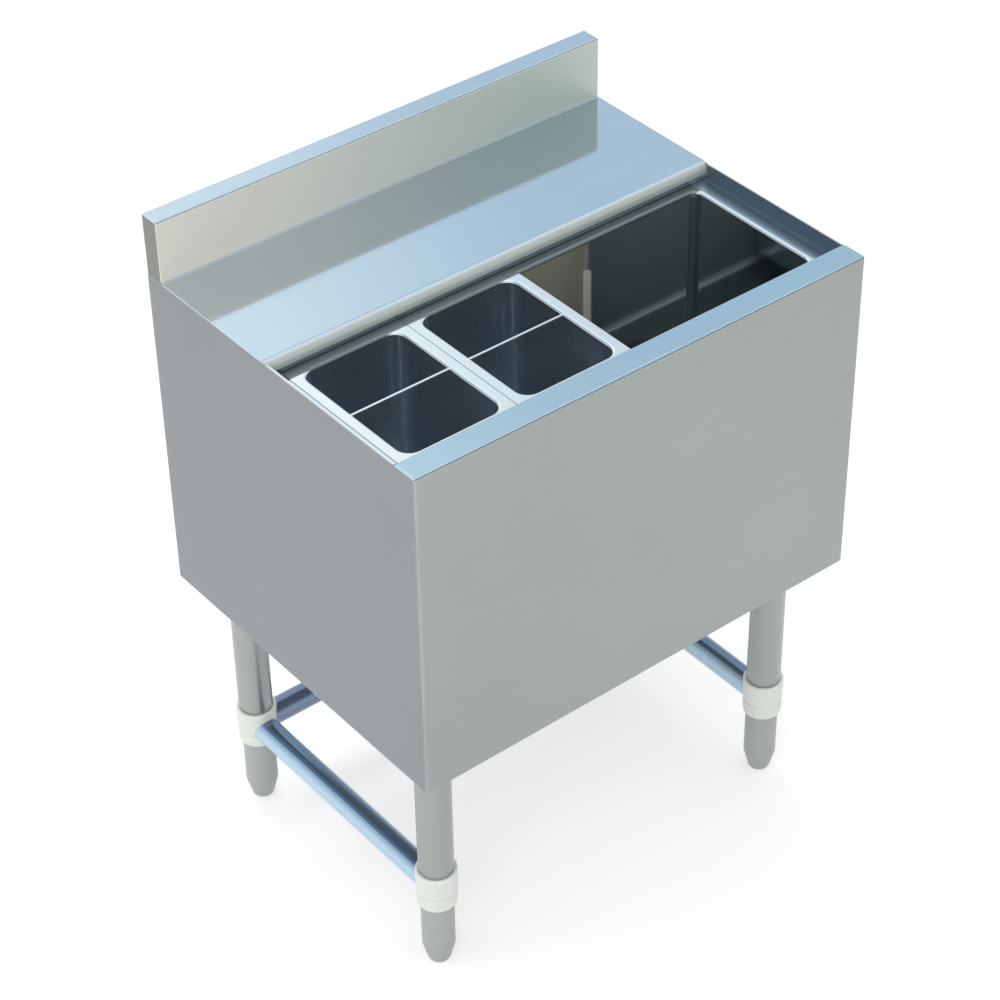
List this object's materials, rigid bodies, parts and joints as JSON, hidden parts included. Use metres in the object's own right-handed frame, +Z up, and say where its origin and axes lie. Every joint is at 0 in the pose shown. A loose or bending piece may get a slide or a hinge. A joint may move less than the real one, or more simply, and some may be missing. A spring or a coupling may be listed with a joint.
{
  "type": "underbar ice bin",
  "caption": "Insulated underbar ice bin with twin bottle wells, rear deck, backsplash and railed legs.",
  "frame": {"origin": "on the floor under the middle of the cabinet", "axes": "+Z up, +Y towards the backsplash, +X to the right seen from the front"},
  "size_m": [0.6096, 0.47, 0.8382],
  "materials": {
    "panel_steel": "brushed",
    "deck_steel": "fine brushed",
    "liner_steel": "satin",
    "well_steel": "satin",
    "tube_steel": "satin",
    "galvanised_steel": "galvanised",
    "cast_metal": "satin",
    "zinc": "zinc plated",
    "pale_plastic": "matte",
    "grey_plastic": "matte",
    "foam": "matte",
    "rubber": "matte"
  },
  "bodies": {
    "cabinet": {"front_panel": "panel_steel", "left_side_panel": "panel_steel", "right_side_panel": "panel_steel", "back_panel": "panel_steel", "deck_and_backsplash": "deck_steel", "left_splash_end_cap": "deck_steel", "right_splash_end_cap": "deck_steel", "bottom_pan": "galvanised_steel", "left_bottom_channel": "galvanised_steel", "right_bottom_channel": "galvanised_steel", "deck_stiffener": "galvanised_steel", "ice_tub": "liner_steel", "foam_insulation": "foam", "drain_sump": "liner_steel", "drain_nipple": "tube_steel", "drain_grommet": "rubber", "left_rail": "tube_steel", "right_rail": "tube_steel", "rear_rail": "tube_steel", "socket_bolts": "zinc", "socket_nuts": "zinc", "socket_grub_screws": "zinc", "fitting_grub_screws": "zinc", "rail_screws": "zinc", "front_left_leg_socket": "cast_metal", "front_left_leg": "tube_steel", "front_left_rail_fitting": "pale_plastic", "front_left_foot_plug": "grey_plastic", "front_right_leg_socket": "cast_metal", "front_right_leg": "tube_steel", "front_right_rail_fitting": "pale_plastic", "front_right_foot_plug": "grey_plastic", "rear_left_leg_socket": "cast_metal", "rear_left_leg": "tube_steel", "rear_left_rail_fitting": "pale_plastic", "rear_left_foot_plug": "grey_plastic", "rear_right_leg_socket": "cast_metal", "rear_right_leg": "tube_steel", "rear_right_rail_fitting": "pale_plastic", "rear_right_foot_plug": "grey_plastic"},
    "strainer": {"drain_strainer": "liner_steel"},
    "left_wells": {"left_twin_well": "well_steel"},
    "middle_wells": {"middle_twin_well": "well_steel"},
    "front_left_foot_body": {"front_left_foot": "grey_plastic"},
    "front_right_foot_body": {"front_right_foot": "grey_plastic"},
    "rear_left_foot_body": {"rear_left_foot": "grey_plastic"},
    "rear_right_foot_body": {"rear_right_foot": "grey_plastic"}
  },
  "joints": [
    {"name": "left_wells_lift", "type": "slide", "parent": "cabinet", "child": "left_wells", "axis": [0, 0, 1], "range_m": [0, 0.32]},
    {"name": "middle_wells_lift", "type": "slide", "parent": "cabinet", "child": "middle_wells", "axis": [0, 0, 1], "range_m": [0, 0.32]},
    {"name": "strainer_lift", "type": "slide", "parent": "cabinet", "child": "strainer", "axis": [0, 0, 1], "range_m": [0, 0.36]},
    {"name": "front_left_foot_height", "type": "slide", "parent": "cabinet", "child": "front_left_foot_body", "axis": [0, 0, -1], "range_m": [0, 0.025]},
    {"name": "front_right_foot_height", "type": "slide", "parent": "cabinet", "child": "front_right_foot_body", "axis": [0, 0, -1], "range_m": [0, 0.025]},
    {"name": "rear_left_foot_height", "type": "slide", "parent": "cabinet", "child": "rear_left_foot_body", "axis": [0, 0, -1], "range_m": [0, 0.025]},
    {"name": "rear_right_foot_height", "type": "slide", "parent": "cabinet", "child": "rear_right_foot_body", "axis": [0, 0, -1], "range_m": [0, 0.025]}
  ]
}
